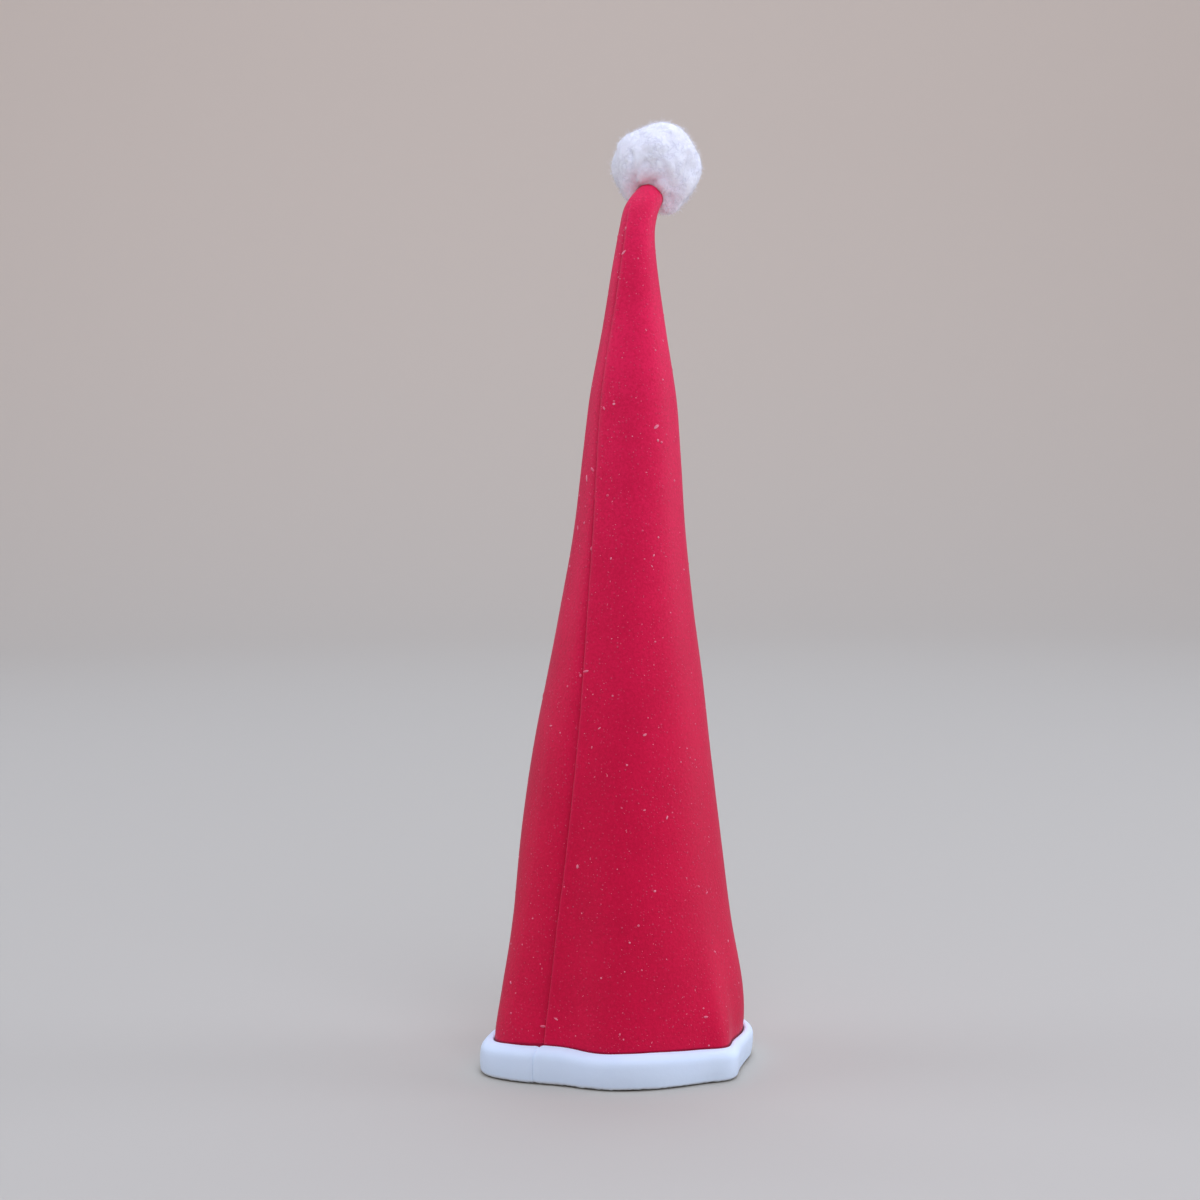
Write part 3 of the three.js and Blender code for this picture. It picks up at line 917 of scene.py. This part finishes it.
def make_crown(settings):
    outside = ring_heights(CROWN_TOP, OUTER_STEP, TIP_STEP)
    inside = ring_heights(HOLLOW_TOP, INNER_STEP, INNER_STEP)[::-1]
    turns, rises, along = crown_columns(outside)
    open_share = within(outside, SEAM_BEGINS, SEAM_ENDS)
    wall = wall_points(outside[:, None], turns, 0.0)
    waves = wobbles(wall, CROWN_WAVES)
    wavy = within(outside, WAVES_BEGIN, WAVES_END)
    pushed = open_share[:, None] * rises + wavy[:, None] * waves * settings.waviness / MM
    outer = wall_points(outside[:, None], turns, pushed)
    inner_turns, inner_rises, _ = crown_columns(inside)
    groove = -np.minimum(inner_rises, 0) * INNER_SEAM_SHARE
    inner = wall_points(inside[:, None], inner_turns, groove - FOAM_THICKNESS)
    tip = centre_line(CROWN_TOP) + centre_direction(CROWN_TOP) * TIP_DOME
    points, faces = lofted(centre_line(HOLLOW_END), np.concatenate((inner, outer)), tip)
    crown = new_piece("foam_crown", points, faces, red_foam_finish(settings), CROWN_CREASE)
    patches = wobble(wall, PORE_CLUSTERS["size"], PORE_CLUSTERS["seed"])
    clusters = smoothstep(patches, PORE_CLUSTERS["low"], PORE_CLUSTERS["high"])
    shown = PORE_CLUSTERS["least"] + PORE_CLUSTERS["more"] * clusters
    # The finish reads these: where pores show, painted shade beside the seam, a painted highlight on its
    # lip, and the height above the strip below which it paints shade
    bands = {
        "shown": smoothstep(outside, *PORES_BEGIN)[:, None] * shown,
        "seam_shade": open_share[:, None] * seam_band(along, SEAM_SHADE),
        "seam_lip_highlight": open_share[:, None] * seam_band(along, SEAM_LIP_HIGHLIGHT),
        "above_strip": (wall[..., 2] - strip_top(turns)) * MM,
    }
    for name, values in bands.items():
        add_attribute(crown, name, np.pad(values.ravel(), (1 + inner_turns.size, 1)))
    seat(crown, "crown")


def make_pores(settings):
    sizes = {
        "Density": settings.pore_density,
        "Least": settings.pore_least,
        "Most": settings.pore_most,
        "Seed": settings.seed,
    }
    start, given = new_growth("opened_pores", sizes)
    points = scattered(start, given, "shown")
    spread = given("Most") - given("Least")
    size = given("Least") + spread * chance(start, 0.0, 1.0, 1) ** PORE_RARITY
    height = start.node("GeometryNodeInputPosition").height()
    stretched = height.between(PORE_STRETCH["low"], PORE_STRETCH["high"])
    size = size * (1 + PORE_STRETCH["more"] * stretched)
    flat = size * chance(start, *PORE_FLATNESS, 2)
    long = size * varied(start, PORE_LENGTH, 3)
    scale = start.node("ShaderNodeCombineXYZ", {"X": size, "Y": long, "Z": flat})
    spun = turned(start, points.other("Rotation"), (0, 0, 1), chance(start, 0.0, math.tau, 4))
    bead = start.node("GeometryNodeMeshIcoSphere", {"Radius": 1.0, "Subdivisions": PORE_DIVISIONS})
    inputs = {"Points": points, "Instance": bead, "Rotation": spun, "Scale": scale}
    close_growth(start, start.node("GeometryNodeInstanceOnPoints", inputs), pore_finish(settings))
    pores = grown("foam_pores", bpy.data.objects["foam_crown"], start.tree, sizes)
    seat(pores)


def arc(middle_out, middle_height, reach, rise, first, last):
    """Points of a quarter round in the strip's cross-section, for every turn at once."""
    angles = np.radians(np.linspace(first, last, STRIP_EDGE_STEPS))
    out = middle_out[:, None] + np.asarray(reach)[..., None] * np.cos(angles)
    return out, middle_height[:, None] + rise * np.sin(angles)


def make_strip(settings):
    radius = section("half_width", (STRIP_FOOT + STRIP_TOP) / 2) + FOAM_THICKNESS
    gap = math.degrees(STRIP_JOINT_GAP / radius)
    reach = math.degrees(STRIP_JOINT_REACH / radius)
    sweep = 360 - gap
    ends = reach * np.linspace(0, 1, STRIP_END_STEPS)[:-1] ** 2
    middle = np.linspace(reach, sweep - reach, STRIP_COLUMNS)
    along = np.concatenate((ends, middle, sweep - ends[::-1]))
    turns = STRIP_JOINT_TURN + gap / 2 + along
    worn = np.maximum(0, 1 - np.minimum(along, sweep - along) / reach) ** 2
    from_end = (sweep - along) / (STRIP_LOW_END["reaches"] * reach)
    low_end = STRIP_LOW_END["drop"] * np.exp(-(from_end**2))
    path = wall_points(STRIP_FOOT, turns, FOAM_THICKNESS, True)
    path[:, 2] = 0
    stretch = (turns - STRIP_STRETCH["turn"]) / STRIP_STRETCH["turn_spread"]
    inner = np.full_like(turns, STRIP_INSET)
    outer = GLUE_GAP + FOAM_THICKNESS - STRIP_STRETCH["thinned"] * np.exp(-(stretch**2))
    outer = outer - STRIP_JOINT_DIP * worn + wobbles(path, FACE_WAVES)
    top = strip_top(turns) - STRIP_JOINT_DROP * worn - low_end + wobbles(path, TOP_WAVES)
    rag = settings.raggedness / MM * (RAG_USUAL + wobbles(path, RAG_WAVES))
    bottom = STRIP_FOOT + STRIP_JOINT_LIFT * worn + np.maximum(rag, 0)
    upper = settings.upper_rounding / MM
    lower = settings.lower_rounding / MM
    tucked = INNER_ROUNDING
    slope = outer - inner - tucked - STRIP_TOP_FLAT
    face = np.linspace(0, 1, STRIP_FACE_STEPS + 2)[1:-1]
    swell = settings.bulge / MM * np.sin(np.pi * face)
    face_out = outer[:, None] + swell
    face_height = (top - upper)[:, None] * (1 - face) + (bottom + lower)[:, None] * face
    corners = [
        arc(inner + tucked, top - tucked, tucked, tucked, 180, 90),
        arc(outer - slope, top - upper, slope, upper, 90, 0),
        (face_out, face_height),
        arc(outer - lower, bottom + lower, lower, lower, 0, -90),
        arc(inner + tucked, bottom + tucked, tucked, tucked, -90, -180),
    ]
    out = np.concatenate([corner[0] for corner in corners], axis=1)
    height = np.concatenate([corner[1] for corner in corners], axis=1)
    rings = wall_points(height, turns[:, None], out, True)
    points, faces = lofted(rings[0].mean(axis=0), rings, rings[-1].mean(axis=0))
    strip = new_piece("foam_strip", points, faces, white_foam_finish(settings), STRIP_CREASE)
    seat(strip, "foot_strip")


def sky(turn, rise):
    """The direction of a turn from the front and a rise, in degrees."""
    turn, rise = math.radians(turn), math.radians(rise)
    return np.array((math.cos(rise) * math.sin(turn), -math.cos(rise) * math.cos(turn), math.sin(rise)))


def lock_reach(lock, tip_side, directions):
    """How far one lock reaches from the ball's middle along each direction, 0 where it is not met."""
    outward = sky(lock["turn"], lock["rise"])
    across = unit(np.cross(tip_side, outward))
    sides = np.stack((across, np.cross(outward, across), outward))
    halves = np.array((lock["half_width"], lock["half_length"], LOCK_HALF_THICKNESS))
    middle = np.array((0, 0, (lock["reach"] - LOCK_HALF_THICKNESS) / LOCK_HALF_THICKNESS))
    rays = directions @ sides.T / halves
    size = (rays * rays).sum(axis=1)
    toward = rays @ middle
    inside = toward * toward - size * (middle @ middle - 1)
    return np.where(inside > 0, (toward + np.sqrt(np.maximum(inside, 0))) / size, 0)


def tip_plug():
    """The crown's tip grown by a hair, to cut its socket in the cotton."""
    turns = np.linspace(0, 360, SOCKET_COLUMNS, endpoint=False)
    rings = wall_points(SOCKET_HEIGHTS[:, None], turns[None], SOCKET_CLEARANCE)
    end = centre_line(CROWN_TOP) + centre_direction(CROWN_TOP) * (TIP_DOME + SOCKET_CLEARANCE)
    return lofted(centre_line(SOCKET_FOOT), rings, end)


def off_tip(points):
    """How far points in the hat's millimetres lie from the tip's wall."""
    far = np.linalg.norm(points[:, None] - centre_line(SOCKET_HEIGHTS)[None], axis=2)
    return (far - section("half_width", SOCKET_HEIGHTS)).min(axis=1)


def cut_from(piece, points, faces):
    """Cuts a solid of these points and faces out of a piece."""
    tool = new_piece("socket_tool", points, faces, piece.data.materials[0], NO_CREASE)
    cut = piece.modifiers.new("Socket", "BOOLEAN")
    cut.operation = "DIFFERENCE"
    cut.solver = "EXACT"
    cut.object = tool
    settle(piece)
    bpy.data.objects.remove(tool)


def tip_fold(directions, tip_side):
    """Folds from 0 to 1 that run away from the tip over the ball."""
    side = unit(np.cross(tip_side, (0.0, 0.0, 1.0)))
    front = np.cross(side, tip_side)
    polar = np.arccos(np.clip(directions @ tip_side, -1, 1))
    round_tip = np.arctan2(directions @ front, directions @ side)
    rounds = TIP_FOLDS["round"] * np.stack((np.cos(round_tip), np.sin(round_tip)), axis=-1)
    line = np.concatenate((rounds, TIP_FOLDS["along"] * polar[:, None]), axis=-1)
    return np.exp(-((wobble(line, 1.0, TIP_FOLDS["seed"]) / TIP_FOLDS["half_width"]) ** 2)) * np.sin(polar)


def pressed_folds(directions):
    """How deep the table's folds are along each direction."""
    depth = np.zeros(len(directions))
    for fold in COTTON_FOLDS:
        first = sky(fold["turn"], fold["rise"])
        last = sky(fold["to_turn"], fold["to_rise"])
        share = np.clip((directions - first) @ (last - first) / ((last - first) @ (last - first)), 0, 1)
        nearest = unit(first + share[:, None] * (last - first))
        far = np.linalg.norm(directions - nearest, axis=1) * COTTON_HEAD / fold["half_width"]
        depth += fold["depth"] * np.exp(-(far**2))
    return depth


def make_cotton(settings):
    ball = bmesh.new()
    bmesh.ops.create_icosphere(ball, subdivisions=BALL_DIVISIONS, radius=1.0)
    directions = unit(np.array([vertex.co for vertex in ball.verts], float))
    faces = [[vertex.index for vertex in face.verts] for face in ball.faces]
    ball.free()
    tip_side = unit(centre_line(CROWN_TOP) - BALL_CENTRE)
    reaches = [np.full(len(directions), COTTON_HEAD)]
    reaches += [lock_reach(lock, tip_side, directions) for lock in COTTON_LOCKS]
    reach = np.log(np.exp(np.stack(reaches) * LOCK_FUSING).sum(axis=0)) / LOCK_FUSING - COTTON_SETTLED
    surface = directions * reach[:, None]
    reach = reach + settings.lumps / MM * wobbles(surface, COTTON_LUMPS)
    reach = reach - settings.folds / MM * tip_fold(directions, tip_side)
    reach = reach - pressed_folds(directions) * (1 + wobbles(surface, FOLD_WAVES))
    points = BALL_CENTRE + directions * reach[:, None]
    cotton = new_piece("cotton_wool", points, faces, cotton_finish(settings), NO_CREASE)
    cut_from(cotton, *tip_plug())
    placed = np.array([vertex.co for vertex in cotton.data.vertices]) / MM - HAT_PLACE
    clear = off_tip(placed)
    add_attribute(cotton, "wool", smoothstep(clear, *WOOL_BEGINS))
    # Painted reflection of the red tip, strongest next to it
    add_attribute(cotton, "near_tip", 1 - smoothstep(clear, *RED_REFLECTION_REACH))
    seat(cotton, "cotton_ball")


def make_fibres(settings):
    sizes = {
        "Density": settings.fibre_density,
        "Length": settings.fibre_length,
        "Radius": settings.fibre_radius,
        "Curl": settings.curl,
        "Seed": settings.seed,
    }
    start, given = new_growth("cotton_fibres", sizes)
    points = scattered(start, given, "wool")
    spun = turned(start, points.other("Rotation"), (0, 0, 1), chance(start, 0.0, math.tau, 1))
    laid = turned(start, spun, (1, 0, 0), chance(start, *FIBRE_LEAN, 2))
    strand = start.node("GeometryNodeCurvePrimitiveLine", {"End": (0.0, 0.0, 1.0)}, mode="POINTS")
    inputs = {"Curve": strand, "Count": FIBRE_POINTS}
    strand = start.node("GeometryNodeResampleCurve", inputs, mode="COUNT")
    length = given("Length") * varied(start, FIBRE_LENGTH, 3)
    inputs = {"Points": points, "Instance": strand, "Rotation": laid, "Scale": length}
    strands = start.node("GeometryNodeInstanceOnPoints", inputs)
    strands = start.node("GeometryNodeRealizeInstances", {0: strands})
    factor = start.node("GeometryNodeSplineParameter", output="Factor")
    where = start.node("GeometryNodeInputPosition")
    stray = start.node("ShaderNodeTexNoise", {"Vector": where, **STRAY_NOISE}, "Color")
    stray = start.node("ShaderNodeVectorMath", {0: stray, 1: (0.5, 0.5, 0.5)}, operation="SUBTRACT")
    inputs = {0: stray, "Scale": factor * given("Curl")}
    stray = start.node("ShaderNodeVectorMath", inputs, operation="SCALE")
    strands = start.node("GeometryNodeSetPosition", {"Geometry": strands, "Offset": stray})
    inputs = {"Resolution": FIBRE_SIDES, "Radius": 1.0}
    ring = start.node("GeometryNodeCurvePrimitiveCircle", inputs, mode="RADIUS")
    thickness = given("Radius") * (1 - factor * FIBRE_TAPER)
    inputs = {"Curve": strands, "Profile Curve": ring, "Scale": thickness, "Fill Caps": True}
    close_growth(start, start.node("GeometryNodeCurveToMesh", inputs), fibre_finish(settings))
    fibres = grown("cotton_fibres", bpy.data.objects["cotton_wool"], start.tree, sizes)
    seat(fibres)


def make_floor(settings):
    """A round pale floor that curves up into a backdrop all round, well away from the hat."""
    bend = np.radians(np.linspace(0, 90, SWEEP_STEPS))
    edge = FLOOR_RADIUS + SWEEP_RADIUS
    reach = np.concatenate(([FLOOR_MIDDLE], FLOOR_RADIUS + SWEEP_RADIUS * np.sin(bend), [edge]))
    rise = np.concatenate(([0.0], SWEEP_RADIUS * (1 - np.cos(bend)), [WALL_HEIGHT]))
    around = np.linspace(0, -math.tau, FLOOR_COLUMNS, endpoint=False)
    x, y = reach[:, None] * np.cos(around), reach[:, None] * np.sin(around)
    rings = np.stack(np.broadcast_arrays(x, y, rise[:, None]), axis=-1)
    points, faces = lofted(np.zeros(3), rings)
    floor = new_object("floor", new_mesh("floor", points, faces, stage_finish(settings)))
    floor.visible_glossy = False


def add_light(row, settings):
    light = bpy.data.lights.new(row["name"], "AREA")
    light.shape = "DISK"
    light.size = row["size"]
    light.energy = row["power"] * settings.brightness
    light.color = settings.light
    lamp = new_object(row["name"], light)
    lamp.location = row["place"]
    lamp.rotation_euler = (Vector(row["aim"]) - lamp.location).to_track_quat("-Z", "Y").to_euler()
    lamp.visible_camera = False
    lamp.visible_glossy = row["mirrored"]


def make_lights(settings):
    for row in LIGHTS:
        add_light(row, settings)
    world = bpy.data.worlds.new("studio")
    bpy.context.scene.world = world
    world.use_nodes = True
    air = world.node_tree.nodes["Background"]
    air.inputs["Color"].default_value = opaque(settings.light)
    air.inputs["Strength"].default_value = settings.surround
    world.cycles_visibility.glossy = False


def make_camera():
    """The photograph's camera, level but for a slight pitch and roll."""
    lens = bpy.data.cameras.new("photo_camera")
    lens.lens = CAMERA_LENS
    lens.sensor_width = CAMERA_SENSOR
    lens.clip_start = CAMERA_CLIP
    camera = new_object("photo_camera", lens)
    pitch = Matrix.Rotation(math.pi / 2 + CAMERA_PITCH, 4, "X")
    roll = Matrix.Rotation(CAMERA_ROLL, 4, "Z")
    camera.matrix_world = Matrix.Translation(CAMERA_PLACE) @ pitch @ roll
    bpy.context.scene.camera = camera


# Operators


class HatCrown(Operator):
    """Builds the rolled foam crown with its butt seam"""

    bl_idname = "santa_hat.crown"
    bl_label = "Crown"
    bl_options = {"REGISTER", "UNDO"}

    def execute(self, context):
        make_crown(context.scene.hat_crown)
        return {"FINISHED"}


class HatPores(Operator):
    """Scatters opened pores over the crown's outside"""

    bl_idname = "santa_hat.pores"
    bl_label = "Crown pores"
    bl_options = {"REGISTER", "UNDO"}

    def execute(self, context):
        make_pores(context.scene.hat_crown)
        return {"FINISHED"}


class HatStrip(Operator):
    """Builds the foam strip round the foot"""

    bl_idname = "santa_hat.strip"
    bl_label = "Foot strip"
    bl_options = {"REGISTER", "UNDO"}

    def execute(self, context):
        make_strip(context.scene.hat_strip)
        return {"FINISHED"}


class HatCotton(Operator):
    """Builds the matted cotton ball on the tip"""

    bl_idname = "santa_hat.cotton"
    bl_label = "Cotton ball"
    bl_options = {"REGISTER", "UNDO"}

    def execute(self, context):
        make_cotton(context.scene.hat_cotton)
        return {"FINISHED"}


class HatFibres(Operator):
    """Grows loose fibres on the cotton ball"""

    bl_idname = "santa_hat.fibres"
    bl_label = "Cotton fibres"
    bl_options = {"REGISTER", "UNDO"}

    def execute(self, context):
        make_fibres(context.scene.hat_cotton)
        return {"FINISHED"}


class HatStage(Operator):
    """Builds the floor, the lights and the camera"""

    bl_idname = "santa_hat.stage"
    bl_label = "Stage"
    bl_options = {"REGISTER", "UNDO"}

    def execute(self, context):
        make_floor(context.scene.hat_stage)
        make_lights(context.scene.hat_stage)
        make_camera()
        context.scene.view_settings.view_transform = "Standard"
        return {"FINISHED"}


OPERATORS = (HatStage, HatCrown, HatPores, HatStrip, HatCotton, HatFibres)


class VIEW3D_PT_santa_hat(Panel):
    """Lists the hat's pieces and settings"""

    bl_label = "Santa hat"
    bl_idname = "VIEW3D_PT_santa_hat"
    bl_space_type = "VIEW_3D"
    bl_region_type = "UI"
    bl_category = "Santa hat"

    def draw(self, context):
        for operator in OPERATORS:
            self.layout.operator(operator.bl_idname)
        for group in SETTINGS:
            box = self.layout.box()
            values = getattr(context.scene, group)
            for name in values.bl_rna.properties.keys():
                if name not in ("rna_type", "name"):
                    box.prop(values, name)


SETTINGS = {
    "hat_crown": HatCrownSettings,
    "hat_strip": HatStripSettings,
    "hat_cotton": HatCottonSettings,
    "hat_stage": HatStageSettings,
}


def register():
    for kind in (*SETTINGS.values(), *OPERATORS, VIEW3D_PT_santa_hat):
        bpy.utils.register_class(kind)
    for name, group in SETTINGS.items():
        setattr(bpy.types.Scene, name, PointerProperty(type=group))


def unregister():
    for name in SETTINGS:
        delattr(bpy.types.Scene, name)
    for kind in reversed((*SETTINGS.values(), *OPERATORS, VIEW3D_PT_santa_hat)):
        bpy.utils.unregister_class(kind)


def main():
    register()
    bpy.ops.santa_hat.stage()
    bpy.ops.santa_hat.crown()
    bpy.ops.santa_hat.pores()
    bpy.ops.santa_hat.strip()
    bpy.ops.santa_hat.cotton()
    bpy.ops.santa_hat.fibres()


if __name__ == "__main__":
    main()
